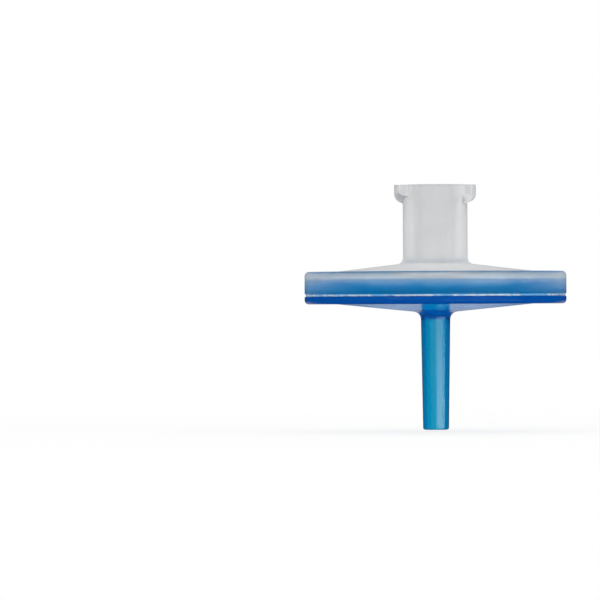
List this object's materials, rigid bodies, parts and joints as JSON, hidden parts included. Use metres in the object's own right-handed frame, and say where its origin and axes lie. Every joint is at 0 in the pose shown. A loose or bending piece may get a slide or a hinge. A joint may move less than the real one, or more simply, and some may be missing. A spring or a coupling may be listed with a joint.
{
  "type": "syringe filter",
  "caption": "Round membrane filter for a syringe: a translucent inlet housing with a female luer lock socket, welded at the rim to a blue outlet housing with a slim tube.",
  "frame": {"origin": "middle of the inlet's end face, where a syringe's tip goes in", "axes": "+Z out of the inlet along the flow axis, so the filter hangs below it along -Z; the two luer lock lugs stand at +X and -X"},
  "size_m": [0.025, 0.025, 0.0234],
  "materials": {
    "natural_plastic": "milky, translucent polypropylene as moulded, satin",
    "blue_plastic": "clear blue polypropylene as moulded, glossy",
    "white_membrane": "matt white microporous film"
  },
  "bodies": {
    "root": {"inlet_housing": "natural_plastic", "membrane": "white_membrane", "outlet_housing": "blue_plastic"}
  },
  "joints": []
}
